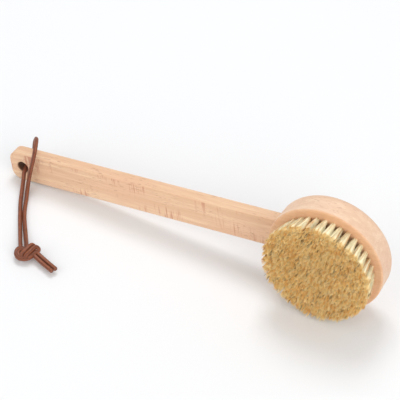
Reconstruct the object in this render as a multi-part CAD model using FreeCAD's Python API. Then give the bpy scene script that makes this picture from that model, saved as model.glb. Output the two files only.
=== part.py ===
import FreeCAD, Part
import math
import os

# Long handled body dry brush, standing on the rim of its head and on the end of
# its handle, with its leather hanging lace lying on the floor beside it.
# Millimetres. +Z is up, the bristles face -Y, the handle runs towards -X.
# The origin is on the floor, under the middle of the brush without its lace.

Vec = FreeCAD.Vector

# Head: a turned beech disc with a rounded back
HEAD_DIAMETER = 100.0
HEAD_THICKNESS = 28.0
WALL_DRAFT = 0.5
FRONT_EDGE_ROUND = 1.6
BACK_ROUND_DEPTH = 11.0
BACK_ROUND_WIDTH = 16.0

# Handle: a flat beech bar let into a closed socket in the head's side
HANDLE_WIDTH = 29.0
HANDLE_THICKNESS = 11.5
HANDLE_REACH = 310.5
SOCKET_DEPTH = 25.0
SOCKET_WEB = 2.0
HANDLE_EDGE_ROUND = 1.2
HANDLE_END_ROUND = 9.0
HANG_HOLE_DIAMETER = 10.0
HANG_HOLE_MARGIN = 12.5
HANG_HOLE_CHAMFER = 1.0

# Bristle field: tufts in rings, each folded round a flat wire staple in a blind hole
TUFT_RINGS = 6
OUTER_RING_RADIUS = 41.3
TUFT_PITCH = 6.8
TUFT_HOLE_DIAMETER = 3.8
TUFT_HOLE_DEPTH = 9.0
TUFT_HOLE_CLEARANCE = 0.05
TUFT_TIP_DIAMETER = 6.3
TUFT_TIP_ROUND = 0.8
TUFT_SPREAD = 1.032
BRISTLE_LENGTH_RIM = 18.5
BRISTLE_LENGTH_MIDDLE = 20.0
STAPLE_WIDTH = 4.6
STAPLE_HEIGHT = 2.0
STAPLE_THICKNESS = 0.4
STAPLE_LIFT = 0.6

# Lace: one round leather thong, doubled through the hang hole and knotted
LACE_DIAMETER = 3.6

# Values that follow from the ones above
HEAD_RADIUS = HEAD_DIAMETER / 2.0
TUFT_HOLE_RADIUS = TUFT_HOLE_DIAMETER / 2.0
TUFT_ROOT_RADIUS = TUFT_HOLE_RADIUS - TUFT_HOLE_CLEARANCE
RING_STEP = OUTER_RING_RADIUS / TUFT_RINGS
LACE_RADIUS = LACE_DIAMETER / 2.0
HANDLE_BACK = HEAD_THICKNESS - SOCKET_WEB
HANDLE_SETBACK = HANDLE_BACK - HANDLE_THICKNESS
HOLE_FROM_HEAD = HANDLE_REACH - HANG_HOLE_MARGIN


def resting_slope():
    """Angle the handle falls by, so that rim and handle end both touch the floor."""
    reach = HANDLE_REACH - HANDLE_END_ROUND
    half = HANDLE_WIDTH / 2.0 - HANDLE_END_ROUND
    drop = HEAD_RADIUS - HANDLE_END_ROUND
    span = math.hypot(reach, half)
    return math.asin(drop / span) - math.atan2(half, reach)


SLOPE = resting_slope()
LEFT_END = (
    (HANDLE_REACH - HANDLE_END_ROUND) * math.cos(SLOPE)
    + (HANDLE_WIDTH / 2.0 - HANDLE_END_ROUND) * math.sin(SLOPE)
    + HANDLE_END_ROUND
)
MIDDLE_X = (HEAD_RADIUS - LEFT_END) / 2.0
MIDDLE_Y = (HEAD_THICKNESS - BRISTLE_LENGTH_MIDDLE) / 2.0


def to_rest(shape):
    """Turn a shape from the brush's own frame into its place on the floor."""
    placed = shape.copy()
    turn = FreeCAD.Rotation(Vec(0, 1, 0), -math.degrees(SLOPE))
    place = FreeCAD.Placement(Vec(-MIDDLE_X, -MIDDLE_Y, HEAD_RADIUS), turn)
    placed.Placement = place.multiply(placed.Placement)
    return placed


def save(name, shapes):
    """Write one node, made of one or more separate solids."""
    solids = []
    for shape in shapes:
        solids.extend(shape.Solids)
    body = solids[0] if len(solids) == 1 else Part.makeCompound(solids)
    body.exportStep("parts/" + name + ".step")
    volume = sum(solid.Volume for solid in solids)
    print(name, "solids", len(solids), "volume mm3", round(volume, 1))
    return body


def head_outline():
    """Half section of the head, radius along X and depth along Y."""
    front = FRONT_EDGE_ROUND
    lean = math.sin(math.radians(45.0)) * front
    wall_end = HEAD_THICKNESS - BACK_ROUND_DEPTH
    back_radius = HEAD_RADIUS - WALL_DRAFT
    flat = back_radius - BACK_ROUND_WIDTH
    edge_mid = Vec(HEAD_RADIUS - front + lean, front - lean, 0)
    arc = Part.Arc(Vec(HEAD_RADIUS - front, 0, 0), edge_mid, Vec(HEAD_RADIUS, front, 0))
    centre = Vec(flat, wall_end, 0)
    if BACK_ROUND_WIDTH >= BACK_ROUND_DEPTH:
        major, minor = BACK_ROUND_WIDTH, BACK_ROUND_DEPTH
        ellipse = Part.Ellipse(centre, major, minor)
    else:
        far = Vec(flat, HEAD_THICKNESS, 0)
        side = Vec(back_radius, wall_end, 0)
        ellipse = Part.Ellipse(far, side, centre)
    start = ellipse.parameter(Vec(back_radius, wall_end, 0))
    finish = ellipse.parameter(Vec(flat, HEAD_THICKNESS, 0))
    if finish < start:
        finish += 2.0 * math.pi
    back = Part.ArcOfEllipse(ellipse, start, finish)
    edges = [
        Part.LineSegment(Vec(0, 0, 0), Vec(HEAD_RADIUS - front, 0, 0)).toShape(),
        arc.toShape(),
        Part.LineSegment(Vec(HEAD_RADIUS, front, 0), Vec(back_radius, wall_end, 0)).toShape(),
        back.toShape(),
        Part.LineSegment(Vec(flat, HEAD_THICKNESS, 0), Vec(0, HEAD_THICKNESS, 0)).toShape(),
        Part.LineSegment(Vec(0, HEAD_THICKNESS, 0), Vec(0, 0, 0)).toShape(),
    ]
    return Part.Face(Part.Wire(edges))


def handle_bar():
    """The bar from its rounded free end to the end hidden in the socket."""
    root = HEAD_RADIUS - SOCKET_DEPTH
    length = HANDLE_REACH - root
    corner = Vec(-HANDLE_REACH, HANDLE_SETBACK, -HANDLE_WIDTH / 2.0)
    bar = Part.makeBox(length, HANDLE_THICKNESS, HANDLE_WIDTH, corner)
    end_edges = []
    for edge in bar.Edges:
        middle = edge.CenterOfMass
        upright = abs(edge.Vertexes[0].Point.y - edge.Vertexes[1].Point.y) > 1.0
        if upright and middle.x < -HANDLE_REACH + 0.01:
            end_edges.append(edge)
    bar = bar.makeFillet(HANDLE_END_ROUND, end_edges)
    rim_edges = []
    for edge in bar.Edges:
        ends = [vertex.Point for vertex in edge.Vertexes]
        flat = abs(ends[0].y - ends[1].y) < 0.01
        hidden = min(end.x for end in ends) > -root - 0.01
        if flat and not hidden:
            rim_edges.append(edge)
    return bar.makeFillet(HANDLE_EDGE_ROUND, rim_edges)


def hang_hole():
    """Cutter for the hang hole with a small chamfer on both faces."""
    radius = HANG_HOLE_DIAMETER / 2.0
    base = Vec(-HOLE_FROM_HEAD, HANDLE_SETBACK, 0)
    drill = Part.makeCylinder(radius, HANDLE_THICKNESS, base, Vec(0, 1, 0))
    wide = radius + HANG_HOLE_CHAMFER
    front = Part.makeCone(wide, radius, HANG_HOLE_CHAMFER, base, Vec(0, 1, 0))
    far = Vec(-HOLE_FROM_HEAD, HANDLE_BACK, 0)
    back = Part.makeCone(wide, radius, HANG_HOLE_CHAMFER, far, Vec(0, -1, 0))
    return drill.fuse([front, back])


def ring_count(ring):
    """Number of tufts that fit round a ring at the tuft pitch."""
    if ring == 0:
        return 1
    return int(2.0 * math.pi * ring * RING_STEP / TUFT_PITCH + 0.1)


def bristle_length(ring):
    """Free length of a ring's tufts; the field is slightly domed."""
    share = (ring / TUFT_RINGS) ** 2
    return BRISTLE_LENGTH_MIDDLE + (BRISTLE_LENGTH_RIM - BRISTLE_LENGTH_MIDDLE) * share


def tuft_placements(ring):
    """Placements that carry a tuft drawn along +Z to each seat of a ring."""
    radius = ring * RING_STEP
    lean = math.atan2(radius * (TUFT_SPREAD - 1.0), bristle_length(ring))
    count = ring_count(ring)
    places = []
    for index in range(count):
        angle = 2.0 * math.pi * (index + 0.5 * (ring % 2)) / count
        seat = Vec(radius * math.cos(angle), 0, radius * math.sin(angle))
        out = Vec(math.cos(angle), 0, math.sin(angle))
        way = Vec(0, -math.cos(lean), 0) + out * math.sin(lean)
        side = Vec(-math.sin(angle), 0, math.cos(angle))
        turn = FreeCAD.Rotation(side.cross(way), side, way, "ZXY")
        places.append(FreeCAD.Placement(seat, turn))
    return places


def staple_shape():
    """One flat wire staple, wider than its hole so that its ends bite into the wood."""
    low = -TUFT_HOLE_DEPTH + TUFT_HOLE_CLEARANCE + STAPLE_LIFT
    corner = Vec(-STAPLE_WIDTH / 2.0, -STAPLE_THICKNESS / 2.0, low)
    return Part.makeBox(STAPLE_WIDTH, STAPLE_THICKNESS, STAPLE_HEIGHT, corner)


def tuft_shape(length):
    """One tuft: folded root in the hole, flaring to a soft rounded tip."""
    root = TUFT_ROOT_RADIUS
    tip = TUFT_TIP_DIAMETER / 2.0
    soft = TUFT_TIP_ROUND
    low = -TUFT_HOLE_DEPTH + TUFT_HOLE_CLEARANCE
    points = [
        Vec(0, 0, low),
        Vec(root * 0.7, 0, low),
        Vec(root, 0, low + root * 0.3),
        Vec(root, 0, 0),
        Vec(tip, 0, length - soft),
        Vec(tip - soft, 0, length),
        Vec(0, 0, length),
        Vec(0, 0, low),
    ]
    face = Part.Face(Part.makePolygon(points))
    body = face.revolve(Vec(0, 0, 0), Vec(0, 0, 1), 360)
    return body.cut(staple_shape())


def placed_copies(shape, places):
    """Copies of one shape at each placement."""
    copies = []
    for place in places:
        copy = shape.copy()
        copy.Placement = place
        copies.append(copy)
    return copies


def route(points, label):
    """Wire of straight runs joined by tangent arcs through the corner points."""
    corners = [Vec(*point) for point in points]
    edges = []
    radii = []
    start = corners[0]
    for index in range(1, len(corners) - 1):
        here = corners[index]
        back = corners[index - 1] - here
        ahead = corners[index + 1] - here
        turn = math.pi - back.getAngle(ahead)
        reach = 0.45 * min(back.Length, ahead.Length)
        radii.append(reach / math.tan(turn / 2.0))
        back.normalize()
        ahead.normalize()
        into = here + back * reach
        out = here + ahead * reach
        bisector = back + ahead
        bisector.normalize()
        centre = here + bisector * (radii[-1] / math.cos(turn / 2.0))
        middle = centre - bisector * radii[-1]
        edges.append(Part.LineSegment(start, into).toShape())
        edges.append(Part.Arc(into, middle, out).toShape())
        start = out
    edges.append(Part.LineSegment(start, corners[-1]).toShape())
    wire = Part.Wire(edges)
    print(label, "length mm", round(wire.Length, 1), "bend radii mm", [round(r, 1) for r in radii])
    return wire


def tube(points, label, diameter=LACE_DIAMETER):
    """Round lace along a route."""
    wire = route(points, label)
    first = Vec(*points[0])
    way = Vec(*points[1]) - first
    ring = Part.Wire(Part.Circle(first, way, diameter / 2.0).toShape())
    body = wire.makePipeShell([ring], True, False)
    wanted = math.pi * diameter ** 2 / 4.0 * wire.Length
    print(label, "volume over section times length", round(body.Volume / wanted, 4))
    return body


# Lace routes, measured from the floor under the head's centre
HOLE_X = -HOLE_FROM_HEAD * math.cos(SLOPE)
HOLE_Z = HEAD_RADIUS - HOLE_FROM_HEAD * math.sin(SLOPE)
HOLE_MID_Y = (HANDLE_SETBACK + HANDLE_BACK) / 2.0
FACE_Y = HANDLE_SETBACK
REAR_Y = HANDLE_BACK
FLOOR_Z = LACE_RADIUS + 0.05
LACE_X = HOLE_X + 1.4
LACE_Z = HOLE_Z - 0.7

SHORT_STRAND = [
    (LACE_X, HOLE_MID_Y, LACE_Z),
    (LACE_X + 1.4, FACE_Y - 2.1, LACE_Z - 0.1),
    (LACE_X + 3.6, FACE_Y - 7.1, LACE_Z - 5.7),
    (LACE_X + 7.0, FACE_Y - 15.4, FLOOR_Z + 1.4),
    (LACE_X + 12.6, FACE_Y - 26.6, FLOOR_Z),
    (LACE_X + 19.6, FACE_Y - 37.8, FLOOR_Z + 0.1),
    (LACE_X + 26.8, FACE_Y - 49.2, FLOOR_Z),
    (LACE_X + 34.7, FACE_Y - 60.6, FLOOR_Z + 0.1),
    (LACE_X + 41.4, FACE_Y - 70.2, FLOOR_Z + 0.6),
    (LACE_X + 45.4, FACE_Y - 75.4, FLOOR_Z + 1.6),
]

LONG_STRAND = [
    (LACE_X, HOLE_MID_Y, LACE_Z),
    (LACE_X - 1.0, REAR_Y + 4.5, LACE_Z + 0.2),
    (LACE_X - 2.0, REAR_Y + 5.6, LACE_Z + 9.0),
    (LACE_X + 1.0, REAR_Y + 4.0, LACE_Z + 20.0),
    (LACE_X + 6.8, REAR_Y - 0.5, LACE_Z + 30.3),
    (LACE_X + 13.4, FACE_Y + 2.5, LACE_Z + 32.8),
    (LACE_X + 15.9, FACE_Y - 3.9, LACE_Z + 28.3),
    (LACE_X + 14.4, FACE_Y - 4.9, LACE_Z + 20.0),
    (LACE_X + 11.2, FACE_Y - 5.1, LACE_Z + 8.2),
    (LACE_X + 8.5, FACE_Y - 5.7, LACE_Z - 3.6),
    (LACE_X + 10.4, FACE_Y - 11.5, FLOOR_Z + 3.2),
    (LACE_X + 15.2, FACE_Y - 21.2, FLOOR_Z + 0.1),
    (LACE_X + 20.6, FACE_Y - 32.1, FLOOR_Z),
    (LACE_X + 26.6, FACE_Y - 42.3, FLOOR_Z + 0.1),
    (LACE_X + 33.4, FACE_Y - 51.6, FLOOR_Z),
    (LACE_X + 40.5, FACE_Y - 61.0, FLOOR_Z + 0.1),
    (LACE_X + 46.9, FACE_Y - 69.3, FLOOR_Z + 0.8),
    (LACE_X + 50.4, FACE_Y - 74.1, FLOOR_Z + 1.9),
]

# Knot: across runs along the knot's width, along runs away from its tails
KNOT_X = HOLE_X + 55.0
KNOT_Y = FACE_Y - 79.3
KNOT_ACROSS = (0.88, 0.475)


def knot_points(points):
    """Knot points given as across, along and height, placed on the floor."""
    wide, deep = KNOT_ACROSS
    placed = []
    for across, along, height in points:
        x = KNOT_X + across * wide - along * deep
        y = KNOT_Y + across * deep + along * wide
        placed.append((x, y, height))
    return placed


KNOT_TURNS = {
    "knot outer ring": [(-1.5, 9.4, 3.6), (-8.2, 7.6, 3.4), (-10.4, -0.6, 2.6),
                        (-5.8, -7.2, 1.9), (2.6, -7.4, 1.9), (8.0, -2.6, 3.0)],
    "knot inner ring": [(1.0, 7.0, 5.2), (-5.6, 5.6, 5.0), (-7.6, -0.4, 4.8),
                        (-4.0, -4.6, 4.4), (2.4, -4.6, 4.2), (7.0, -0.6, 4.4)],
    "knot strap": [(5.8, -3.6, 3.6), (11.2, -0.2, 5.0), (9.6, 5.4, 7.4),
                   (3.4, 2.4, 9.4), (-2.6, -3.4, 8.6), (-4.6, -5.0, 4.4)],
    "knot second strap": [(1.6, 0.4, 3.8), (6.4, 4.4, 5.2), (5.4, 7.6, 8.0),
                          (0.0, 4.4, 9.6), (-4.6, -1.4, 8.0), (-5.0, -3.4, 3.6)],
    "short tail": [(0.6, 1.4, 3.4), (6.6, -5.0, 2.2), (14.2, -14.2, 1.9), (20.6, -22.5, 3.4)],
    "long tail": [(3.6, 3.8, 3.4), (9.6, -2.8, 2.2), (17.2, -12.0, 1.9), (23.8, -20.2, 3.4)],
}
KNOT_CORE = [(-2.0, 6.6, 4.2), (1.0, 1.2, 4.8), (5.4, -2.0, 4.0)]
KNOT_CORE_DIAMETER = 6.6


def lace_knot():
    """The knot drawn tight with its two tails, as one body of leather."""
    turns = [tube(knot_points(points), label) for label, points in KNOT_TURNS.items()]
    core = tube(knot_points(KNOT_CORE), "knot core", KNOT_CORE_DIAMETER)
    return core.fuse(turns)


def longest(shape):
    """The largest solid of a cut shape."""
    return max(shape.Solids, key=lambda solid: solid.Volume)


def set_down(shape):
    """Move a shape drawn from the floor under the head's centre to the origin."""
    placed = shape.copy()
    placed.translate(Vec(-MIDDLE_X, -MIDDLE_Y, 0))
    return placed


def main():
    """Build every node and write it."""
    os.makedirs("parts", exist_ok=True)
    print("slope degrees", round(math.degrees(SLOPE), 3))
    print("shift mm", round(MIDDLE_X, 3), round(MIDDLE_Y, 3))
    bar = handle_bar()
    handle = bar.cut(hang_hole())
    block = head_outline().revolve(Vec(0, 0, 0), Vec(0, 1, 0), 360)
    block = block.cut(bar)
    hole = Part.makeCylinder(TUFT_HOLE_RADIUS, TUFT_HOLE_DEPTH + 2.0, Vec(0, 0, -TUFT_HOLE_DEPTH))
    cutters = []
    for ring in range(TUFT_RINGS + 1):
        places = tuft_placements(ring)
        tufts = placed_copies(tuft_shape(bristle_length(ring)), places)
        staples = placed_copies(staple_shape(), places)
        cutters.extend(placed_copies(hole, places))
        cutters.extend(staples)
        label = "centre" if ring == 0 else "ring_" + str(ring)
        save("tufts_" + label, [to_rest(tuft) for tuft in tufts])
        save("staples_" + label, [to_rest(staple) for staple in staples])
    block = block.cut(Part.makeCompound(cutters))
    save("head_block", [to_rest(block)])
    save("handle", [to_rest(handle)])
    knot = lace_knot()
    save("lace_knot", [set_down(knot)])
    short = longest(tube(SHORT_STRAND, "short strand").cut(knot))
    save("lace_short_strand", [set_down(short)])
    save("lace_long_strand", [set_down(longest(tube(LONG_STRAND, "long strand").cut([knot, short])))])


main()
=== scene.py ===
import logging
import math
from dataclasses import dataclass
from enum import Enum

import bpy
import numpy as np
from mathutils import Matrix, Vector


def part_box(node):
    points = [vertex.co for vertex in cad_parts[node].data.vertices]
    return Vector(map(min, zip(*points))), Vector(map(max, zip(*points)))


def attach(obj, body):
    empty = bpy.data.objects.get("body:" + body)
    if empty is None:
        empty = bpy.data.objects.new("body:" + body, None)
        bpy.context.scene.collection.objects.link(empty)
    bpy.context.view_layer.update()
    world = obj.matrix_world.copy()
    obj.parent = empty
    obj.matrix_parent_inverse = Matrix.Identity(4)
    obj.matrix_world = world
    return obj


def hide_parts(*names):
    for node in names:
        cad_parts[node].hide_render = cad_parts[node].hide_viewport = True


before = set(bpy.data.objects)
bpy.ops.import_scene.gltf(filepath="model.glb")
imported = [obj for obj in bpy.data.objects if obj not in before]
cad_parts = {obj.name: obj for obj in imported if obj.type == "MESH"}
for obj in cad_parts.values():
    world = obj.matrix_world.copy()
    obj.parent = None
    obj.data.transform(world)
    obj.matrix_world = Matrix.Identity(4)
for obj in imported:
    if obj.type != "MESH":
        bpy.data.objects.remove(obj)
log = logging.getLogger("body_brush")
Points = list[tuple[float, float, float]]
Color = tuple[float, float, float, float]

SLOPE = math.radians(6.769)     # the handle falls by this angle from head to end
SHIFT_X = 0.129523              # head's centre from the origin, along X
SHIFT_Y = -0.004                # head's front face from the origin, along Y
HOLE_X = -0.295923              # hang hole from the head's centre, along X
HOLE_MID_Y = 0.02025            # middle of the hang hole's depth
FACE_Y = 0.0145                 # the handle's front face
REAR_Y = 0.026                  # the handle's back face
HOLE_Z = 0.014875               # hang hole above the floor
LACE_RADIUS = 0.0018
FLOOR_Z = LACE_RADIUS + 0.00005  # centreline of a thong that lies on the floor
LACE_X = HOLE_X + 0.0014        # where the thong runs in the hang hole
LACE_Z = HOLE_Z - 0.0007
HOLE_SHADE_STARTS = 0.0058             # from the hang hole's axis, where the painted shade on its wall starts
HOLE_SHADE_FULL = 0.0050              # and where it is fully dark
RIPPLE_ENDS = 0.0142            # from the handle's middle line, where its ripples end
RIPPLE_FULL = 0.0132            # and where they are still at full strength
FRONT_SHADE_ENDS = 0.0018              # behind the head's front, where the painted shade and bristle bounce on its face end
FRONT_SHADE_FULL = 0.0003              # and where it is still at full strength
GOLDEN_TURN = 2.39996           # radians between neighbours of an even spiral
WHOLE_TURN = 6.283              # radians, upper bound of a random turn
HAIR_LEVELS = (0.0, 0.33, 0.7, 1.0)         # places along a hair that get a ring of its skin
HAIR_TAPER = (1.0, 1.0, 0.95, 0.62)         # its radius at each, as a share of the full one
HAIR_SIDES = 3
CORE_LEVELS = (0.0, 0.2, 0.33, 0.5, 0.7, 0.84, 0.88, 0.9)   # the same for a tuft's packed middle
OPENING = 1.1                   # power by which a tuft opens along its length
DARK_TONE = 1.0                 # tone of a dark hair
PALE_MOST = 0.94                # highest tone of any other hair
CORE_TONE = 0.45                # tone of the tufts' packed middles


class Cut(Enum):
    """How a piece of beech was cut from the board."""

    TURNED_BLOCK = "turned block"
    QUARTER_BAR = "quarter sawn bar"


class Graph:
    """A node tree being wired, one call per node."""

    def __init__(self, tree: bpy.types.NodeTree) -> None:
        """Start on an empty tree.

        Args:
            tree: The material's or group's node tree.
        """
        self.tree = tree
        tree.nodes.clear()

    def add(self, kind: str, feeds: dict | None = None, **settings: object) -> bpy.types.Node:
        """Add a node, set it up and feed its inputs.

        Args:
            kind: The node type without its ShaderNode prefix, or a full name.
            feeds: Input name or number to a socket to link, or a constant.
            settings: Properties of the node.

        Returns:
            The new node.
        """
        name = kind if kind.startswith("Node") else "ShaderNode" + kind
        node = self.tree.nodes.new(name)
        for key, value in settings.items():
            setattr(node, key, value)
        for key, value in (feeds or {}).items():
            if isinstance(value, bpy.types.NodeSocket):
                self.tree.links.new(value, node.inputs[key])
            else:
                node.inputs[key].default_value = value
        return node

    def math(self, what: str, first: object, second: object = 0.0) -> bpy.types.NodeSocket:
        """Combine two values.

        Args:
            what: The operation, such as MULTIPLY.
            first: A socket or number.
            second: A socket or number.

        Returns:
            The result's socket.
        """
        return self.add("Math", {0: first, 1: second}, operation=what).outputs[0]

    def stretch(self, vector: object, scale: tuple[float, float, float]) -> bpy.types.NodeSocket:
        """Scale a vector on each axis, so that a pattern is drawn long on one.

        Args:
            vector: The coordinates.
            scale: Repeats per metre on each axis.

        Returns:
            The scaled vector's socket.
        """
        return self.add("Mapping", {"Vector": vector, "Scale": scale}).outputs[0]

    def noise(self, vector: object, detail: float = 2.0, rough: float = 0.5) -> bpy.types.NodeSocket:
        """Noise whose size is one unit of its vector.

        Args:
            vector: The coordinates, already scaled.
            detail: Octaves added.
            rough: Strength of the finer octaves.

        Returns:
            The noise value's socket.
        """
        feeds = {"Vector": vector, "Scale": 1.0, "Detail": detail, "Roughness": rough}
        return self.add("TexNoise", feeds).outputs["Fac"]

    def ramp(self, value: object, low: float, high: float,
             start: float = 0.0, end: float = 1.0) -> bpy.types.NodeSocket:
        """Ease a value from one range to another, clamped at both ends.

        Args:
            value: The value's socket.
            low: Value that gives start.
            high: Value that gives end.
            start: Result at low.
            end: Result at high.

        Returns:
            The eased value's socket.
        """
        feeds = {"Value": value, "From Min": low, "From Max": high, "To Min": start, "To Max": end}
        return self.add("MapRange", feeds, interpolation_type="SMOOTHSTEP").outputs["Result"]

    def mix(self, share: object, first: object, second: object,
            how: str = "MIX") -> bpy.types.NodeSocket:
        """Mix two colours.

        Args:
            share: Share of the second.
            first: A socket or colour.
            second: A socket or colour.
            how: The blend type.

        Returns:
            The mixed colour's socket.
        """
        node = self.add("Mix", {"Factor": share, 6: first, 7: second}, data_type="RGBA", blend_type=how)
        return node.outputs[2]


def new_group(name: str, inputs: dict[str, object], outputs: dict[str, str]) -> bpy.types.NodeTree:
    """Make a shader node group with named sockets.

    Args:
        name: The group's name.
        inputs: Input name to its default value.
        outputs: Output name to its socket type.

    Returns:
        The group with its input and output nodes still to be added.
    """
    tree = bpy.data.node_groups.new(name, "ShaderNodeTree")
    kinds = {float: "NodeSocketFloat", tuple: "NodeSocketColor", type(None): "NodeSocketVector"}
    for label, value in inputs.items():
        socket = tree.interface.new_socket(label, in_out="INPUT", socket_type=kinds[type(value)])
        if value is not None:
            socket.default_value = value
    for label, kind in outputs.items():
        tree.interface.new_socket(label, in_out="OUTPUT", socket_type=kind)
    return tree


def beech_figure() -> bpy.types.NodeTree:
    """Group that draws beech: soft growth bands, fine fibre, ray flecks and cross ripples.

    The grain runs along X of the vector, which is in metres.

    Returns:
        The node group.
    """
    tree = new_group(
        "Beech figure",
        {"Vector": None, "Pale": (0.8, 0.56, 0.39, 1.0), "Deep": (0.66, 0.4, 0.25, 1.0),
         "Rose": (0.72, 0.42, 0.3, 1.0), "Fleck": (0.4, 0.2, 0.12, 1.0),
         "Ripple": (0.6, 0.28, 0.18, 1.0),
         "Fleck Amount": 0.5, "Ripple Amount": 0.5},
        {"Color": "NodeSocketColor", "Height": "NodeSocketFloat"},
    )
    g = Graph(tree)
    given = g.add("NodeGroupInput").outputs
    vector = given["Vector"]
    # The grain sways, and growth bands and fine fibre follow it; broad rosy patches lie over them.
    wander = g.noise(g.stretch(vector, (14.0, 60.0, 60.0)), 2.0)
    sway = g.add("CombineXYZ", {
        "Y": g.math("MULTIPLY", wander, 0.004), "Z": g.math("MULTIPLY", wander, 0.006)}).outputs[0]
    bent = g.add("VectorMath", {0: vector, 1: sway}, operation="ADD").outputs[0]
    bands = g.ramp(g.noise(g.stretch(bent, (5.0, 190.0, 190.0)), 3.0, 0.6), 0.36, 0.64)
    fine = g.noise(g.stretch(bent, (40.0, 1100.0, 1100.0)), 2.0, 0.6)
    broad = g.ramp(g.noise(g.stretch(vector, (18.0, 40.0, 40.0)), 1.0), 0.4, 0.7)
    # Short dark flecks along the grain, and ripples across it, both in patches.
    dashes = g.noise(g.stretch(vector, (210.0, 1300.0, 1300.0)), 0.0)
    dash_patch = g.ramp(g.noise(g.stretch(vector, (30.0, 60.0, 60.0)), 0.0), 0.38, 0.62)
    dash = g.math("MULTIPLY", g.ramp(dashes, 0.66, 0.76), dash_patch)
    rays = g.noise(g.stretch(vector, (760.0, 120.0, 46.0)), 0.0)
    ray_patch = g.ramp(g.noise(g.stretch(vector, (20.0, 30.0, 40.0)), 0.0), 0.4, 0.56)
    ray = g.math("MULTIPLY", g.ramp(rays, 0.55, 0.78), ray_patch)
    color = g.mix(g.math("MULTIPLY", bands, 0.7), given["Pale"], given["Deep"])
    color = g.mix(g.math("MULTIPLY", broad, 0.35), color, given["Rose"])
    color = g.mix(g.ramp(fine, 0.3, 0.7, 0.0, 0.6), color, given["Deep"])
    color = g.mix(g.math("MULTIPLY", dash, given["Fleck Amount"]), color, given["Fleck"])
    color = g.mix(g.math("MULTIPLY", ray, given["Ripple Amount"]), color, given["Ripple"])
    height = g.math("SUBTRACT", fine, g.math("MULTIPLY", dash, 0.6))
    g.add("NodeGroupOutput", {"Color": color, "Height": height})
    return tree


def fine_mottle() -> bpy.types.NodeTree:
    """Group that varies a colour and a value at one size, for leather, wire and floor.

    Returns:
        The node group.
    """
    tree = new_group(
        "Fine mottle",
        {"Vector": None, "Color": (0.5, 0.5, 0.5, 1.0), "Shade": (0.3, 0.3, 0.3, 1.0),
         "Size": 500.0, "Amount": 0.5, "Base Value": 0.5, "Value Spread": 0.1},
        {"Color": "NodeSocketColor", "Value": "NodeSocketFloat", "Height": "NodeSocketFloat"},
    )
    g = Graph(tree)
    given = g.add("NodeGroupInput").outputs
    feeds = {"Vector": given["Vector"], "Scale": given["Size"], "Detail": 4.0}
    noise = g.add("TexNoise", feeds).outputs["Fac"]
    share = g.math("MULTIPLY", g.ramp(noise, 0.35, 0.7), given["Amount"])
    swing = g.math("MULTIPLY", g.math("SUBTRACT", noise, 0.5), given["Value Spread"])
    g.add("NodeGroupOutput", {
        "Color": g.mix(share, given["Color"], given["Shade"]),
        "Value": g.math("ADD", given["Base Value"], swing),
        "Height": noise,
    })
    return tree


def new_material(name: str) -> tuple[bpy.types.Material, Graph]:
    """Make an empty node material.

    Args:
        name: The material's name.

    Returns:
        The material and its node graph.
    """
    material = bpy.data.materials.new(name)
    material.use_nodes = True
    return material, Graph(material.node_tree)


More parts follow.
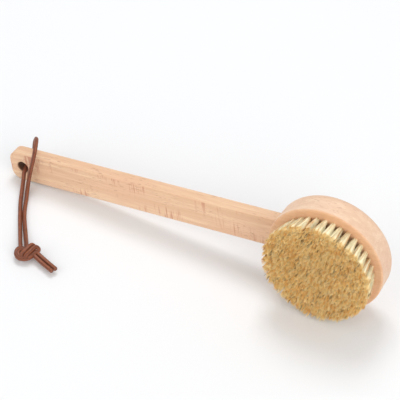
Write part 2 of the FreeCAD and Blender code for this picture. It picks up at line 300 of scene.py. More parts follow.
@dataclass(frozen=True)
class BeechFinish:
    """Pale beech, fine sanded and lightly oiled."""

    name: str
    cut: Cut
    pale: Color = (0.87, 0.62, 0.42, 1.0)
    deep: Color = (0.72, 0.44, 0.27, 1.0)
    rose: Color = (0.78, 0.46, 0.32, 1.0)
    fleck: Color = (0.47, 0.235, 0.15, 1.0)
    ripple: Color = (0.6, 0.27, 0.17, 1.0)
    # painted shade and warm bounce light from the bristles on the head's front face
    face: Color = (0.98, 0.84, 0.7, 1.0)
    # painted shade inside the hang hole
    hole_shade: Color = (0.17, 0.08, 0.045, 1.0)
    offset: tuple[float, float, float] = (0.0, 0.0, 0.0)

    def hole_shift(self) -> tuple[float, float, float]:
        """Move that brings the hang hole's axis to zero, after the turn by the slope."""
        x, z = HOLE_X + SHIFT_X, HOLE_Z
        cos, sin = math.cos(SLOPE), math.sin(SLOPE)
        return (-(x * cos + z * sin), 0.0, -(z * cos - x * sin))

    def build(self, figure: bpy.types.NodeTree) -> bpy.types.Material:
        """Make the material, with the grain along the handle.

        The bar has ripples and painted shade in its hang hole, and the turned block
        painted shade and warm bristle bounce on its front face.

        Args:
            figure: The beech figure group.

        Returns:
            The material.
        """
        material, g = new_material(self.name)
        place = g.add("TexCoord").outputs["Object"]
        feeds = {"Vector": place, "Rotation": (0.0, SLOPE, 0.0), "Location": self.offset}
        along = g.add("Mapping", feeds).outputs[0]
        bar = self.cut is Cut.QUARTER_BAR
        drawn = g.add("Group", {
            "Vector": along, "Pale": self.pale, "Deep": self.deep, "Rose": self.rose,
            "Fleck": self.fleck, "Ripple": self.ripple,
            "Fleck Amount": 0.6 if bar else 0.5, "Ripple Amount": 0.0}, node_tree=figure)
        color = drawn.outputs["Color"]
        if bar:
            feeds = {"Vector": place, "Rotation": (0.0, SLOPE, 0.0), "Location": self.hole_shift()}
            centred = g.add("Mapping", feeds).outputs[0]
            height = g.math("ABSOLUTE", g.add("SeparateXYZ", {0: centred}).outputs["Z"])
            on_face = g.ramp(height, RIPPLE_ENDS, RIPPLE_FULL, 0.0, 0.9)
            g.tree.links.new(on_face, drawn.inputs["Ripple Amount"])
            near = g.stretch(centred, (1.0, 0.0, 1.0))
            away = g.add("VectorMath", {0: near}, operation="LENGTH").outputs["Value"]
            # painted shade: the hang hole's wall goes dark brown near its axis
            color = g.mix(g.ramp(away, HOLE_SHADE_STARTS, HOLE_SHADE_FULL), color, self.hole_shade)
        else:
            # painted shade and warm bounce light from the bristles, multiplied in near the head's front
            # plane
            depth = g.add("SeparateXYZ", {0: place}).outputs["Y"]
            turned = g.ramp(depth, SHIFT_Y + FRONT_SHADE_ENDS, SHIFT_Y + FRONT_SHADE_FULL)
            color = g.mix(turned, color, g.mix(1.0, color, self.face, "MULTIPLY"))
        rough = g.ramp(drawn.outputs["Height"], 0.2, 0.8, 0.56, 0.44)
        bump = g.add("Bump", {"Height": drawn.outputs["Height"], "Strength": 0.25, "Distance": 0.00006})
        shader = g.add("BsdfPrincipled", {
            "Base Color": color, "Roughness": rough, "Normal": bump.outputs[0],
            "Specular IOR Level": 0.35})
        g.add("OutputMaterial", {"Surface": shader.outputs[0]})
        return material


@dataclass(frozen=True)
class BristleFinish:
    """Natural boar bristle: pale body, golden trimmed tips, some dark hairs."""

    name: str = "Natural bristle"
    root: Color = (0.8, 0.56, 0.27, 1.0)
    body: Color = (1.0, 0.92, 0.65, 1.0)
    tip: Color = (0.99, 0.69, 0.255, 1.0)
    amber: Color = (0.8, 0.38, 0.085, 1.0)
    dark: Color = (0.13, 0.06, 0.025, 1.0)

    def build(self) -> bpy.types.Material:
        """Make the material from each hair's tone and the place along it.

        Returns:
            The material.
        """
        material, g = new_material(self.name)
        tone = g.add("Attribute", attribute_name="tone").outputs["Fac"]
        along = g.add("Attribute", attribute_name="along").outputs["Fac"]
        color = g.mix(g.ramp(along, 0.14, 0.26), self.root, self.body)
        color = g.mix(g.ramp(along, 0.74, 0.98), color, self.tip)
        color = g.mix(g.ramp(tone, 0.05, 0.45, 0.38, 0.0), color, self.body)
        color = g.mix(g.ramp(tone, 0.55, 0.94, 0.0, 0.7), color, self.amber)
        dark = g.math("MULTIPLY", g.ramp(tone, 0.955, 0.965), g.ramp(along, 0.7, 0.9))
        color = g.mix(dark, color, self.dark)
        rough = g.ramp(tone, 0.0, 1.0, 0.42, 0.62)
        shader = g.add("BsdfPrincipled", {
            "Base Color": color, "Roughness": rough, "Specular IOR Level": 0.3})
        g.add("OutputMaterial", {"Surface": shader.outputs[0]})
        return material


@dataclass(frozen=True)
class LeatherFinish:
    """Smooth brown leather thong, darker along its four edges: partly painted edge shade, partly the cut
    edges' own darker colour.
    """

    name: str = "Brown thong leather"
    color: Color = (0.29, 0.085, 0.034, 1.0)
    shade: Color = (0.17, 0.046, 0.02, 1.0)
    # partly painted shade along the thong's rounded edges, partly their own darker cut colour
    edge: Color = (0.075, 0.022, 0.012, 1.0)

    def build(self, mottle: bpy.types.NodeTree) -> bpy.types.Material:
        """Make the material; an edge attribute marks the thong's four edges.

        Args:
            mottle: The fine mottle group.

        Returns:
            The material.
        """
        material, g = new_material(self.name)
        place = g.add("TexCoord").outputs["Object"]
        grain = g.add("Group", {
            "Vector": place, "Color": self.color, "Shade": self.shade, "Size": 420.0,
            "Amount": 0.7, "Base Value": 0.48, "Value Spread": 0.3}, node_tree=mottle)
        edge = g.add("Attribute", attribute_name="edge").outputs["Fac"]
        # darken the edges: partly painted shade, partly the cut edges' own colour
        color = g.mix(g.math("MULTIPLY", edge, 0.75), grain.outputs["Color"], self.edge)
        pores = g.add("TexVoronoi", {"Vector": place, "Scale": 2600.0}).outputs["Distance"]
        lift = g.math("ADD", g.math("MULTIPLY", pores, 0.5), grain.outputs["Height"])
        bump = g.add("Bump", {"Height": lift, "Strength": 0.45, "Distance": 0.00012})
        shader = g.add("BsdfPrincipled", {
            "Base Color": color, "Roughness": grain.outputs["Value"], "Normal": bump.outputs[0],
            "Specular IOR Level": 0.45})
        g.add("OutputMaterial", {"Surface": shader.outputs[0]})
        return material


@dataclass(frozen=True)
class WireFinish:
    """Drawn flat steel wire."""

    name: str = "Staple wire"
    color: Color = (0.6, 0.59, 0.57, 1.0)
    shade: Color = (0.4, 0.39, 0.38, 1.0)

    def build(self, mottle: bpy.types.NodeTree) -> bpy.types.Material:
        """Make the material.

        Args:
            mottle: The fine mottle group.

        Returns:
            The material.
        """
        material, g = new_material(self.name)
        grain = g.add("Group", {
            "Vector": g.add("TexCoord").outputs["Object"], "Color": self.color, "Shade": self.shade,
            "Size": 1800.0, "Amount": 0.6, "Base Value": 0.35, "Value Spread": 0.2}, node_tree=mottle)
        shader = g.add("BsdfPrincipled", {
            "Base Color": grain.outputs["Color"], "Roughness": grain.outputs["Value"], "Metallic": 1.0})
        g.add("OutputMaterial", {"Surface": shader.outputs[0]})
        return material


def make_mesh(name: str, places: np.ndarray, faces: np.ndarray,
              fields: dict[str, np.ndarray], chart: np.ndarray) -> bpy.types.Object:
    """Put whole arrays into a new mesh object at the origin.

    Args:
        name: The piece's name.
        places: Vertices, n by 3, in metres.
        faces: Vertex numbers, m by 3 or m by 4.
        fields: Attribute name to one value per vertex.
        chart: One flat place per vertex, n by 2, for the piece's own map.

    Returns:
        The object, linked to the scene.
    """
    mesh = bpy.data.meshes.new(name)
    sides = faces.shape[1]
    mesh.vertices.add(len(places))
    mesh.vertices.foreach_set("co", places.astype(np.float32).ravel())
    mesh.loops.add(faces.size)
    mesh.loops.foreach_set("vertex_index", faces.astype(np.int32).ravel())
    mesh.polygons.add(len(faces))
    mesh.polygons.foreach_set("loop_start", np.arange(0, faces.size, sides, dtype=np.int32))
    mesh.polygons.foreach_set("use_smooth", np.ones(len(faces), bool))
    mesh.update(calc_edges=True)
    for label, values in fields.items():
        layer = mesh.attributes.new(label, "FLOAT", "POINT")
        layer.data.foreach_set("value", values.astype(np.float32).ravel())
    flat = mesh.uv_layers.new(name="OFBake")
    flat.uv.foreach_set("vector", chart[faces.ravel()].astype(np.float32).ravel())
    piece = bpy.data.objects.new(name, mesh)
    bpy.context.scene.collection.objects.link(piece)
    return piece


@dataclass
class BristleField:
    """Rings of bristle tufts, each a bundle of separate tapering hairs round a packed core.

    Lengths are in metres. Scatters, trims, bow and wear are standard deviations.
    """

    material: bpy.types.Material
    rings: int = 6
    outer_radius: float = 0.0413
    pitch: float = 0.0068
    root_radius: float = 0.0015
    tip_radius: float = 0.0042
    spread: float = 1.032
    rim_length: float = 0.0191
    middle_length: float = 0.0205
    depth: float = 0.006
    hairs: int = 380
    hair_radius: float = 0.000115
    clumps: int = 20
    most_hairs: int = 9120
    core_share: float = 0.96
    core_sides: int = 12
    tip_scatter: float = 0.00045
    tuft_scatter: float = 0.0004
    clump_scatter: float = 0.0005
    bow: float = 0.0003
    clump_trim: float = 0.0006
    tuft_trim: float = 0.0004
    hair_trim: float = 0.0008
    wear: float = 0.0006
    most_pull: float = 0.45
    dark_clumps: float = 0.06

    def seats(self, ring: int) -> np.ndarray:
        """Angles of a ring's tufts, evenly spaced, odd rings half a step on.

        Args:
            ring: Ring number, 0 for the single middle tuft.

        Returns:
            One angle per tuft.
        """
        around = 2.0 * math.pi * ring * self.outer_radius / self.rings / self.pitch
        count = max(int(around + 0.1), 1)
        return 2.0 * math.pi * (np.arange(count) + 0.5 * (ring % 2)) / count

    def across(self, tufts: int, rng: np.random.Generator) -> tuple[np.ndarray, np.ndarray, np.ndarray]:
        """Places of the hairs' roots and tips across their tufts.

        Both lie on an even disc, radius * sqrt(share of the hairs); a tip is then
        scattered and drawn towards the nearest of a few clump centres.

        Args:
            tufts: How many tufts.
            rng: Seeded random source.

        Returns:
            Roots and tips (tufts, hairs, 2) and the number of each hair's clump.
        """
        step, spots = np.arange(self.hairs), np.arange(self.clumps)
        turn = step * GOLDEN_TURN + rng.uniform(0, WHOLE_TURN, (tufts, 1))
        reach = np.sqrt((step + 0.5) / self.hairs)[None, :] * np.ones((tufts, 1))
        disc = np.stack([np.cos(turn), np.sin(turn)], 2) * reach[:, :, None]
        tip = disc * self.tip_radius + rng.normal(0.0, self.tip_scatter, disc.shape)
        aim = spots * GOLDEN_TURN + rng.uniform(0, WHOLE_TURN, (tufts, 1))
        far = np.sqrt((spots + 0.5) / self.clumps) * self.tip_radius
        far = far * rng.uniform(0.85, 1.08, (tufts, self.clumps))
        centres = np.stack([np.cos(aim) * far, np.sin(aim) * far], 2)
        nearest = np.linalg.norm(tip[:, :, None] - centres[:, None], axis=3).argmin(2)
        picked = np.take_along_axis(centres, nearest[:, :, None], 1)
        pull = rng.uniform(0.0, self.most_pull, (tufts, self.hairs, 1))
        tip = tip * (1.0 - pull) + picked * pull
        tip += rng.normal(0.0, self.tuft_scatter, (tufts, 1, 2))
        moves = rng.normal(0.0, self.clump_scatter, centres.shape)
        tip += np.take_along_axis(moves, nearest[:, :, None], 1)
        return disc * self.root_radius, tip, nearest

    def lengths(self, away: np.ndarray, nearest: np.ndarray, rng: np.random.Generator) -> np.ndarray:
        """Lengths of the hairs, trimmed to a low dome: middle + (rim - middle) * away^2.

        Args:
            away: Each tip's distance from the field's middle, 1 at its rim.
            nearest: The number of each hair's clump.
            rng: Seeded random source.

        Returns:
            One length per hair.
        """
        tufts = len(away)
        length = self.middle_length + (self.rim_length - self.middle_length) * away ** 2
        clump_trim = rng.normal(0.0, self.clump_trim, (tufts, self.clumps))
        length += np.take_along_axis(clump_trim, nearest, 1) + rng.normal(0.0, self.tuft_trim, (tufts, 1))
        trim = rng.normal(0.0, self.hair_trim, length.shape)
        length += trim - np.abs(rng.normal(0.0, self.wear, length.shape))
        return length

    def tones(self, nearest: np.ndarray, rng: np.random.Generator) -> np.ndarray:
        """Tones of the hairs: pale to amber by clump, and a few dark ones.

        Args:
            nearest: The number of each hair's clump.
            rng: Seeded random source.

        Returns:
            One tone per hair.
        """
        tufts = len(nearest)
        clump_tone = np.take_along_axis(rng.uniform(-0.5, 0.5, (tufts, self.clumps)), nearest, 1)
        tone = rng.uniform(0.2, 0.8, nearest.shape) + clump_tone + rng.normal(0.0, 0.07, (tufts, 1))
        tone = np.clip(tone, 0.0, PALE_MOST)
        dark_share = np.where(rng.uniform(size=(tufts, self.clumps)) < self.dark_clumps, 0.4, 0.02)
        dark = rng.uniform(size=tone.shape) < np.take_along_axis(dark_share, nearest, 1)
        tone[dark] = DARK_TONE
        return tone

    def hair_points(self, ring: int, angles: np.ndarray,
                    rng: np.random.Generator) -> dict[str, np.ndarray]:
        """Lines of every hair in a ring, in the head's own frame.

        A hair starts in its hole, leans out with its tuft and opens from its root's
        place to its tip's by along^1.1, with a slight bow.

        Args:
            ring: Ring number.
            angles: The tufts' angles.
            rng: Seeded random source.

        Returns:
            Arrays: line (tufts, hairs, levels, 3), tone, the tufts' two cross axes
            wide and side, their seats, the way they point and their tips' mean shift.
        """
        radius = ring * self.outer_radius / self.rings
        base = self.middle_length + (self.rim_length - self.middle_length) * (ring / self.rings) ** 2
        lean = math.atan2(radius * (self.spread - 1.0), base)
        zero = np.zeros(len(angles))
        out = np.stack([np.cos(angles), zero, np.sin(angles)], 1)
        side = np.stack([-np.sin(angles), zero, np.cos(angles)], 1)
        way = out * math.sin(lean) + np.array([0.0, -math.cos(lean), 0.0])
        wide = out * math.cos(lean) + np.array([0.0, math.sin(lean), 0.0])
        seat = out * radius
        root, tip, nearest = self.across(len(angles), rng)
        bow = rng.normal(0.0, self.bow, tip.shape)
        flat = seat[:, None] + tip[..., :1] * wide[:, None] + tip[..., 1:] * side[:, None]
        away = np.hypot(flat[..., 0], flat[..., 2]) / self.outer_radius
        length = self.lengths(away, nearest, rng)
        levels = np.array(HAIR_LEVELS)
        cross = root[:, :, None] + (tip - root)[:, :, None] * (levels ** OPENING)[:, None]
        cross += bow[:, :, None] * np.sin(levels * math.pi)[:, None]
        rise = length[:, :, None] * levels
        rise[:, :, 0] = -self.depth
        line = (seat[:, None, None] + cross[..., :1] * wide[:, None, None]
                + cross[..., 1:] * side[:, None, None] + rise[..., None] * way[:, None, None])
        return {"line": line, "tone": self.tones(nearest, rng), "wide": wide, "side": side,
                "seat": seat, "way": way, "shift": tip.mean(1)}

    def build(self) -> list[bpy.types.Object]:
        """Build every ring, split so that no piece is too heavy.

        Returns:
            The bristle pieces.
        """
        made = []
        for ring in range(self.rings + 1):
            node = "tufts_centre" if ring == 0 else f"tufts_ring_{ring}"
            angles = self.seats(ring)
            parts = math.ceil(len(angles) * self.hairs / self.most_hairs)
            for part, some in enumerate(np.array_split(angles, parts)):
                rng = np.random.default_rng(100 * ring + part)
                name = node.replace("tufts", "bristles") + ("" if parts == 1 else f"_part_{part + 1}")
                made.append(self.ring_piece(name, node, self.hair_points(ring, some, rng)))
        return made

    def cores(self, hair: dict[str, np.ndarray]) -> tuple[np.ndarray, np.ndarray, np.ndarray]:
        """Packed middles of the tufts, which stop light short of the block.

        Each is a cone that opens with the hairs and closes in a low point under
        their tips: radius = share * (root + (tip - root) * along^1.1).

        Args:
            hair: What hair_points gave.

        Returns:
            Vertices, faces and the place along the tuft of each vertex.
        """
        along = np.array(CORE_LEVELS)
        opened = (self.tip_radius - self.root_radius) * along ** OPENING
        radius = (self.root_radius + opened) * self.core_share
        radius[-2:] *= np.array([0.75, 0.2])
        rise = along * self.rim_length
        rise[0], rise[1] = -self.depth * 0.9, -self.depth * 0.3
        angle = np.arange(self.core_sides) / self.core_sides * 2.0 * math.pi
        disc = np.stack([np.cos(angle), np.sin(angle)], 1)
        cross = hair["shift"][:, None, None] * along[:, None, None] + disc * radius[:, None, None]
        skin = (hair["seat"][:, None, None] + cross[..., :1] * hair["wide"][:, None, None]
                + cross[..., 1:] * hair["side"][:, None, None]
                + rise[:, None, None] * hair["way"][:, None, None])
        places = stand_up(skin.reshape(-1, 3))
        tufts, levels, count = len(hair["seat"]), len(along), self.core_sides
        number = np.arange(tufts * levels * count).reshape(tufts, levels, count)
        fan = np.arange(1, count - 1)
        ends = []
        for rim, first, second in ((number[:, 0], fan, fan + 1), (number[:, -1], fan + 1, fan)):
            start = np.repeat(rim[:, :1], count - 2, 1)
            ends.append(np.stack([start, rim[:, first], rim[:, second]], 2).reshape(-1, 3))
        faces = outward(places, np.concatenate([tube_sides(number), *ends]))
        return places, faces, np.tile(np.repeat(along, count), tufts)

    def ring_piece(self, name: str, node: str, hair: dict[str, np.ndarray]) -> bpy.types.Object:
        """Give each hair a three sided skin that tapers to its tip, and add the cores.

        The flat map sets tone across and the place along the hair up.

        Args:
            name: The piece's name.
            node: The CAD node it stands for.
            hair: What hair_points gave.

        Returns:
            The piece.
        """
        line = hair["line"]
        angle = np.arange(HAIR_SIDES) * 2.0 * math.pi / HAIR_SIDES
        thick = self.hair_radius * np.array(HAIR_TAPER)
        ring = (np.cos(angle)[:, None] * hair["wide"][:, None]
                + np.sin(angle)[:, None] * hair["side"][:, None])
        skin = line[:, :, :, None] + ring[:, None, None] * thick[:, None, None]
        places = stand_up(skin.reshape(-1, 3))
        number = np.arange(len(places)).reshape(-1, len(HAIR_LEVELS), HAIR_SIDES)
        caps = np.concatenate([number[:, 0], number[:, -1, ::-1]])
        faces = outward(places, np.concatenate([tube_sides(number), caps]))
        tone = np.broadcast_to(hair["tone"].reshape(-1, 1, 1), number.shape)
        along = np.broadcast_to(np.array(HAIR_LEVELS)[None, :, None], number.shape)
        small = np.broadcast_to(np.arange(HAIR_SIDES)[None, None], number.shape)
        chart = np.stack([tone * 0.95 + 0.01 + small * 0.012, along * 0.95 + 0.02 + small * 0.008], 3)
        packed, packed_faces, packed_along = self.cores(hair)
        packed_tone = np.full(len(packed), CORE_TONE)
        spin = np.arange(len(packed)) % self.core_sides / self.core_sides * 0.06
        packed_chart = np.stack([packed_tone * 0.95 + spin, packed_along * 0.95 + 0.02 + spin * 0.1], 1)
        faces = np.concatenate([faces, packed_faces + len(places)])
        places = np.concatenate([places, packed])
        tone = np.concatenate([tone.ravel(), packed_tone])
        along = np.concatenate([along.ravel(), packed_along])
        chart = np.concatenate([chart.reshape(-1, 2), packed_chart])
        piece = make_mesh(name, places, faces, {"tone": tone, "along": along}, chart)
        piece.data.materials.append(self.material)
        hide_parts(node)
        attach(piece, "root")
        return piece


def tube_sides(number: np.ndarray) -> np.ndarray:
    """Triangles between neighbouring rings of closed tubes.

    Args:
        number: Vertex numbers, tubes by rings by places round a ring.

    Returns:
        The triangles, n by 3.
    """
    low, high = number[:, :-1], number[:, 1:]
    after_low, after_high = np.roll(low, -1, 2), np.roll(high, -1, 2)
    return np.stack([
        np.stack([low, high, after_high], 3),
        np.stack([low, after_high, after_low], 3)], 3).reshape(-1, 3)


def outward(places: np.ndarray, faces: np.ndarray) -> np.ndarray:
    """Turn faces so that they face out of the small closed pieces they belong to.

    The signed volume of a closed mesh is the sum over its faces of a dot (b cross c),
    over six, and it is negative when the faces point inwards.

    Args:
        places: Vertices.
        faces: Triangles.

    Returns:
        The same faces, all reversed if they pointed inwards.
    """
    middle = places.mean(0)
    a, b, c = (places[faces[:, i]] - middle for i in range(3))
    volume = np.einsum("ij,ij->i", a, np.cross(b, c)).sum()
    return faces if volume > 0 else faces[:, ::-1]


def stand_up(points: np.ndarray) -> np.ndarray:
    """Carry points from the head's own frame to where it stands.

    They turn about Y by the slope, then move to the head's centre.

    Args:
        points: Points, n by 3, bristles towards -Y and handle towards -X.

    Returns:
        The points in the part's frame.
    """
    low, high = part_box("head_block")
    x, y, z = points.T
    cos, sin = math.cos(SLOPE), math.sin(SLOPE)
    return np.stack([
        x * cos - z * sin + (low.x + high.x) / 2.0,
        y + low.y,
        x * sin + z * cos + (low.z + high.z) / 2.0], 1)


def set_down(points: Points) -> Points:
    """Move points from the floor under the head's centre to the part's frame."""
    return [(x + SHIFT_X, y + SHIFT_Y, z) for x, y, z in points]


@dataclass
class Thong:
    """One length of leather thong: a soft square section carried along a route.

    Fill is the section's half width over the radius, roll its turn in radians,
    power its squareness and sides how many flats it is drawn with.
    """

    name: str
    points: Points
    material: bpy.types.Material
    radius: float = LACE_RADIUS
    fill: float = 0.93
    roll: float = 0.12
    power: float = 3.0
    sides: int = 20

    def centreline(self, per_run: int = 10) -> np.ndarray:
        """Smooth line of the route, a NURBS spline with the points as controls.

        Args:
            per_run: Steps the spline takes between two controls.

        Returns:
            Points on the line, n by 3.
        """
        curve = bpy.data.curves.new("route", "CURVE")
        curve.dimensions = "3D"
        curve.resolution_u = per_run
        spline = curve.splines.new("NURBS")
        spline.points.add(len(self.points) - 1)
        weights = np.ones((len(self.points), 1))
        spline.points.foreach_set("co", np.hstack([np.array(self.points), weights]).ravel())
        spline.order_u = 3
        spline.use_endpoint_u = True
        holder = bpy.data.objects.new("route", curve)
        bpy.context.scene.collection.objects.link(holder)
        line_mesh = bpy.data.meshes.new_from_object(holder)
        line = np.empty(len(line_mesh.vertices) * 3)
        line_mesh.vertices.foreach_get("co", line)
        bpy.data.objects.remove(holder)
        bpy.data.curves.remove(curve)
        bpy.data.meshes.remove(line_mesh)
        return line.reshape(-1, 3)

    def surface(self, line: np.ndarray) -> tuple[np.ndarray, np.ndarray, np.ndarray, np.ndarray]:
        """Carry the section along a line without twist.

        The section is a superellipse, |x|^n + |y|^n = 1 with n the power, turned by
        the roll. Its axes stay square to the line as each is carried on from the last.

        Args:
            line: The centreline.

        Returns:
            Vertices, faces, how near an edge each vertex is, and a flat place each.
        """
        steps = np.gradient(line, axis=0)
        ahead = steps / np.linalg.norm(steps, axis=1, keepdims=True)
        across = np.empty_like(line)
        hold = np.cross(ahead[0], (0.0, 0.0, 1.0))
        if np.linalg.norm(hold) < 0.2:
            hold = np.array([1.0, 0.0, 0.0])
        for index, way in enumerate(ahead):
            hold = hold - way * (hold @ way)
            hold = hold / np.linalg.norm(hold)
            across[index] = hold
        above = np.cross(ahead, across)
        count, power = self.sides, self.power
        angle = np.arange(count) / count * 2.0 * math.pi
        cos, sin = np.cos(angle), np.sin(angle)
        size = (np.abs(cos) ** power + np.abs(sin) ** power) ** (-1.0 / power)
        lift = np.array([cos * size, sin * size]) * self.radius * self.fill
        first = lift[0] * math.cos(self.roll) - lift[1] * math.sin(self.roll)
        second = lift[0] * math.sin(self.roll) + lift[1] * math.cos(self.roll)
        rings = (line[:, None] + first[None, :, None] * across[:, None]
                 + second[None, :, None] * above[:, None])
        places = np.concatenate([rings.reshape(-1, 3), line[:1], line[-1:]])
        number = np.arange(len(line) * count).reshape(-1, count)
        start, finish = number.size, number.size + 1
        cap = np.stack([number[0], np.roll(number[0], -1), np.full(count, start)], 1)
        far = np.stack([np.roll(number[-1], -1), number[-1], np.full(count, finish)], 1)
        faces = outward(places, np.concatenate([tube_sides(number[None]), cap, far]))
        corner = 2.0 ** (0.5 - 1.0 / power)
        near = np.clip((size - 1.0) / (corner - 1.0), 0.0, 1.0) ** 2.5
        edge = np.concatenate([np.tile(near, len(line)), [0.2, 0.2]])
        travel = np.concatenate([[0.0], np.cumsum(np.linalg.norm(np.diff(line, axis=0), axis=1))])
        travel = travel / travel[-1]
        chart = np.stack(np.meshgrid(np.abs(angle / math.pi - 1.0) * 0.96 + 0.02,
                                     travel * 0.96 + 0.02, indexing="xy"), 2).reshape(-1, 2)
        chart = np.concatenate([chart, [[0.01, 0.005], [0.01, 0.995]]])
        return places, faces, edge, chart

    def build(self) -> tuple[bpy.types.Object, np.ndarray]:
        """Build the thong's mesh and dress it.

        Returns:
            The piece and its centreline.
        """
        line = self.centreline()
        places, faces, edge, chart = self.surface(line)
        piece = make_mesh(self.name, places, faces, {"edge": edge}, chart)
        piece.data.materials.append(self.material)
        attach(piece, "root")
        return piece, line


@dataclass
class HangingLace:
    """The doubled lace: a short and a long strand, their knot and two tails.

    The strands' points repeat the CAD's route, moved behind the loop and at
    the ends that run into the knot.
    """

    material: bpy.types.Material
    knot_x: float = HOLE_X + 0.0566
    knot_y: float = FACE_Y - 0.0822
    knot_lift: float = 0.003
    across: tuple[float, float] = (0.88, 0.475)

    def short_route(self) -> Points:
        """Route of the strand that leaves the hole's front."""
        return set_down([
            (LACE_X, HOLE_MID_Y, LACE_Z),
            (LACE_X + 0.0014, FACE_Y - 0.0021, LACE_Z - 0.0001),
            (LACE_X + 0.0036, FACE_Y - 0.0071, LACE_Z - 0.0057),
            (LACE_X + 0.0070, FACE_Y - 0.0154, FLOOR_Z + 0.0014),
            (LACE_X + 0.0126, FACE_Y - 0.0266, FLOOR_Z),
            (LACE_X + 0.0196, FACE_Y - 0.0378, FLOOR_Z + 0.0001),
            (LACE_X + 0.0268, FACE_Y - 0.0492, FLOOR_Z),
            (LACE_X + 0.0352, FACE_Y - 0.0615, FLOOR_Z + 0.0010),
            (LACE_X + 0.0426, FACE_Y - 0.0724, FLOOR_Z + 0.0029),
            (LACE_X + 0.0484, FACE_Y - 0.0803, FLOOR_Z + 0.0046),
        ])

    def long_route(self) -> Points:
        """Route of the strand that leaves the back and stands up over the handle."""
        return set_down([
            (LACE_X, HOLE_MID_Y, LACE_Z),
            (LACE_X - 0.0004, REAR_Y + 0.0045, LACE_Z + 0.0002),
            (LACE_X + 0.0004, REAR_Y + 0.0056, LACE_Z + 0.0088),
            (LACE_X + 0.0028, REAR_Y + 0.0038, LACE_Z + 0.0200),
            (LACE_X + 0.0082, REAR_Y - 0.0006, LACE_Z + 0.0302),
            (LACE_X + 0.0138, FACE_Y + 0.0024, LACE_Z + 0.0330),
            (LACE_X + 0.0159, FACE_Y - 0.0039, LACE_Z + 0.0283),
            (LACE_X + 0.0144, FACE_Y - 0.0049, LACE_Z + 0.0200),
            (LACE_X + 0.0112, FACE_Y - 0.0051, LACE_Z + 0.0082),
            (LACE_X + 0.0085, FACE_Y - 0.0057, LACE_Z - 0.0036),
            (LACE_X + 0.0104, FACE_Y - 0.0115, FLOOR_Z + 0.0032),
            (LACE_X + 0.0152, FACE_Y - 0.0212, FLOOR_Z + 0.0001),
            (LACE_X + 0.0206, FACE_Y - 0.0321, FLOOR_Z),
            (LACE_X + 0.0266, FACE_Y - 0.0423, FLOOR_Z + 0.0001),
            (LACE_X + 0.0334, FACE_Y - 0.0516, FLOOR_Z),
            (LACE_X + 0.0410, FACE_Y - 0.0619, FLOOR_Z + 0.0010),
            (LACE_X + 0.0481, FACE_Y - 0.0715, FLOOR_Z + 0.0030),
            (LACE_X + 0.0534, FACE_Y - 0.0790, FLOOR_Z + 0.0049),
        ])

    def knot_route(self, points: Points) -> Points:
        """Place knot points given as across, along and height in millimetres.

        Args:
            points: The route in the knot's own frame.

        Returns:
            The route in the part's frame, in metres.
        """
        wide, deep = self.across
        placed = []
        for side, along, height in points:
            x = self.knot_x + (side * wide - along * deep) / 1000.0
            y = self.knot_y + (side * deep + along * wide) / 1000.0
            placed.append((x, y, height / 1000.0 + self.knot_lift))
        return set_down(placed)

    def knot_turns(self) -> dict[str, Points]:
        """The two strands through the overhand knot, with their tails."""
        return {
            "lower_ring": [(6.3, -0.6, 2.6), (4.4, -3.6, 1.9), (-0.1, -6.3, 1.9), (-6.4, -5.5, 1.9),
                           (-9.4, 0.5, 2.4), (-7.4, 5.6, 3.6), (-2.0, 4.4, 4.6), (2.1, 1.2, 4.2)],
            "upper_ring": [(6.0, -1.9, 4.0), (3.5, -4.2, 3.4), (-0.7, -5.2, 3.4), (-5.0, -5.2, 3.6),
                           (-7.2, -1.4, 4.2), (-5.6, 1.8, 5.2), (-1.2, 1.6, 5.4), (1.6, -0.3, 4.4)],
            "upper_strap": [(-2.2, -5.3, 3.0), (-4.2, -4.4, 5.6), (-0.9, -2.2, 7.8), (2.0, 1.6, 8.2),
                            (4.2, 6.4, 6.8), (6.9, 6.1, 4.6), (5.5, 3.4, 3.4)],
            "lower_strap": [(-0.1, -6.0, 3.0), (-0.7, -5.3, 5.2), (2.6, -3.4, 7.2), (5.2, 0.4, 7.6),
                            (7.9, 4.7, 6.4), (10.6, 2.7, 4.8), (9.2, 0.2, 4.4), (6.1, -1.2, 4.2),
                            (3.4, -2.8, 3.8)],
            "left_tail": [(5.2, -1.3, 3.2), (8.3, -4.6, 2.4), (14.9, -11.9, 1.5), (22.7, -20.4, 2.0)],
            "right_tail": [(7.9, 0.8, 3.4), (11.0, -2.0, 2.6), (17.5, -8.9, 1.5), (25.6, -18.1, 2.0)],
        }

    def build(self) -> list[bpy.types.Object]:
        """Returns:
            The lace's pieces.
        """
        short, short_line = Thong("lace_front_strand", self.short_route(), self.material).build()
        long, long_line = Thong("lace_standing_strand", self.long_route(), self.material).build()
        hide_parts("lace_short_strand")
        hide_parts("lace_long_strand")
        turns = []
        for label, points in self.knot_turns().items():
            piece, _ = Thong("knot_" + label, self.knot_route(points), self.material).build()
            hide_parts("lace_knot")
            turns.append(piece)
        return [short, long, *turns]


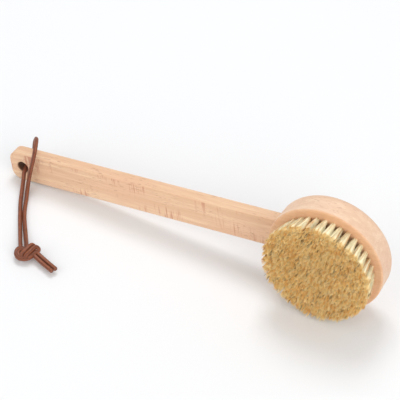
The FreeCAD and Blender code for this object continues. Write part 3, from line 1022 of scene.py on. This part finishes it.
@dataclass
class Studio:
    """Plain pale floor, soft light and the camera."""

    azimuth: float = 28.44
    elevation: float = 41.92
    distance: float = 1.26
    lens: float = 143.97
    target: tuple[float, float, float] = (0.02885, -0.02414, 0.08708)
    lamp_target: tuple[float, float, float] = (0.0, 0.0, 0.03)
    floor_half: float = 4.0

    def camera(self) -> bpy.types.Object:
        """Make the camera and use it.

        Returns:
            The camera.
        """
        turn, rise = math.radians(self.azimuth), math.radians(self.elevation)
        back = Vector((
            math.sin(turn) * math.cos(rise), -math.cos(turn) * math.cos(rise), math.sin(rise)))
        seen = bpy.data.cameras.new("camera")
        seen.lens = self.lens
        seen.sensor_width = 36.0
        seen.clip_start, seen.clip_end = 0.01, 50.0
        camera = bpy.data.objects.new("camera", seen)
        camera.rotation_mode = "QUATERNION"
        camera.location = Vector(self.target) + back * self.distance
        camera.rotation_quaternion = (-back).to_track_quat("-Z", "Y")
        bpy.context.scene.collection.objects.link(camera)
        bpy.context.scene.camera = camera
        return camera

    def lamp(self, name: str, place: tuple[float, float, float], size: float, power: float,
             color: tuple[float, float, float]) -> None:
        """Add a square soft box aimed at the brush.

        Args:
            name: The lamp's name.
            place: Where it hangs.
            size: Its side.
            power: Its power in watts.
            color: Its colour.
        """
        light = bpy.data.lights.new(name, "AREA")
        light.shape, light.size, light.energy, light.color = "SQUARE", size, power, color
        lamp = bpy.data.objects.new(name, light)
        lamp.location = place
        lamp.rotation_mode = "QUATERNION"
        aim = Vector(self.lamp_target) - Vector(place)
        lamp.rotation_quaternion = aim.to_track_quat("-Z", "Y")
        bpy.context.scene.collection.objects.link(lamp)

    def light(self) -> None:
        """Hang the lamps and set the room's own light."""
        self.lamp("key", (-0.45, 0.92, 2.2), 1.0, 21.5, (0.97, 0.985, 1.0))
        self.lamp("right fill", (2.0, -1.4, 1.5), 2.2, 35.0, (1.0, 0.99, 0.975))
        self.lamp("left fill", (-1.2, -2.2, 1.6), 2.2, 19.0, (1.0, 0.99, 0.975))
        world = bpy.data.worlds.new("room")
        world.use_nodes = True
        g = Graph(world.node_tree)
        sky = g.add("Background", {"Color": (1.0, 0.995, 0.985, 1.0), "Strength": 0.57})
        g.add("OutputWorld", {"Surface": sky.outputs[0]})
        bpy.context.scene.world = world
        bpy.context.scene.view_settings.view_transform = "Standard"

    def floor(self, mottle: bpy.types.NodeTree) -> bpy.types.Object:
        """Lay the floor.

        Args:
            mottle: The fine mottle group.

        Returns:
            The floor.
        """
        half = self.floor_half
        corners = np.array([(-half, -half, 0.0), (half, -half, 0.0),
                            (half, half, 0.0), (-half, half, 0.0)])
        chart = corners[:, :2] / (2.0 * half) + 0.5
        floor = make_mesh("floor", corners, np.array([[0, 1, 2, 3]]), {}, chart)
        material, g = new_material("Pale floor")
        grain = g.add("Group", {
            "Vector": g.add("TexCoord").outputs["Object"],
            "Color": (0.85, 0.86, 0.875, 1.0), "Shade": (0.84, 0.85, 0.865, 1.0),
            "Size": 3.0, "Amount": 0.5, "Base Value": 0.75, "Value Spread": 0.05}, node_tree=mottle)
        shader = g.add("BsdfPrincipled", {
            "Base Color": grain.outputs["Color"], "Roughness": grain.outputs["Value"],
            "Specular IOR Level": 0.2})
        g.add("OutputMaterial", {"Surface": shader.outputs[0]})
        floor.data.materials.append(material)
        return floor


@dataclass
class BodyBrush:
    """The whole brush: beech head and handle, staples, bristles and lace."""

    figure: bpy.types.NodeTree
    mottle: bpy.types.NodeTree

    def dress(self, node: str, material: bpy.types.Material) -> None:
        """Give a CAD node its finish.

        Args:
            node: The node's name.
            material: The finish.
        """
        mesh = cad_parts[node].data
        mesh.materials.clear()
        mesh.materials.append(material)
        log.info("dressed %s in %s", node, material.name)

    def build(self) -> None:
        """Build and dress every piece, the lace first."""
        leather = LeatherFinish().build(self.mottle)
        for piece in HangingLace(leather).build():
            log.info("built %s", piece.name)
        head = BeechFinish(
            "Beech head", Cut.TURNED_BLOCK, pale=(0.88, 0.66, 0.485, 1.0), deep=(0.76, 0.5, 0.34, 1.0))
        self.dress("head_block", head.build(self.figure))
        handle = BeechFinish("Beech handle", Cut.QUARTER_BAR, offset=(0.31, 0.17, 0.23))
        self.dress("handle", handle.build(self.figure))
        wire = WireFinish().build(self.mottle)
        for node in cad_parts:
            if node.startswith("staples"):
                self.dress(node, wire)
        for piece in BristleField(BristleFinish().build()).build():
            log.info("built %s with %d faces", piece.name, len(piece.data.polygons))


def main() -> None:
    """Build the studio and the brush."""
    logging.basicConfig(level=logging.INFO)
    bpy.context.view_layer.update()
    mottle = fine_mottle()
    studio = Studio()
    studio.camera()
    studio.light()
    studio.floor(mottle)
    BodyBrush(beech_figure(), mottle).build()


if __name__ == "__main__":
    main()
